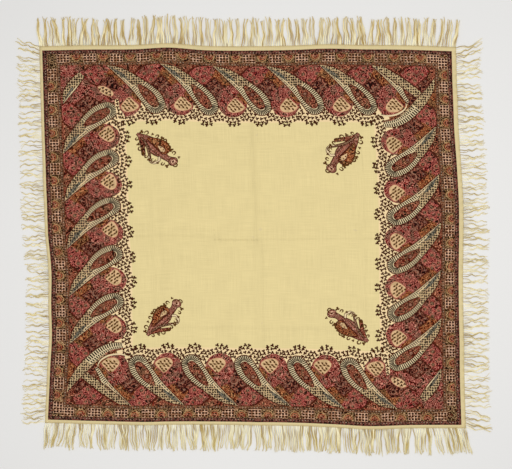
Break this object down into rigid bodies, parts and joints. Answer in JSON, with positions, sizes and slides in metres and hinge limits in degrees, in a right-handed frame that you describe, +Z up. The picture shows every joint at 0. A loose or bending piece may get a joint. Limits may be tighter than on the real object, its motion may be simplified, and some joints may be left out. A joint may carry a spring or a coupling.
{
  "type": "shawl",
  "caption": "Large nearly square fringed shawl of thin wool, spread out flat, with a wide paisley border round a plain cream field.",
  "frame": {"origin": "on the floor under the middle of the spread shawl, fringe included", "axes": "+Z up from the floor through the cloth, +X along the longer side to the right in the picture, +Y towards the picture's top"},
  "size_m": [1.9082, 1.7622, 0.0095],
  "materials": {
    "printed_wool": "thin matt wool, cream ground printed in crimson, orange-brown, olive and maroon",
    "wool_fringe": "plain cream wool with loose twisted yarns"
  },
  "bodies": {
    "root": {"printed_panel": "printed_wool", "margin_fringe_top": "wool_fringe", "margin_fringe_bottom": "wool_fringe", "margin_fringe_left": "wool_fringe", "margin_fringe_right": "wool_fringe"}
  },
  "joints": []
}
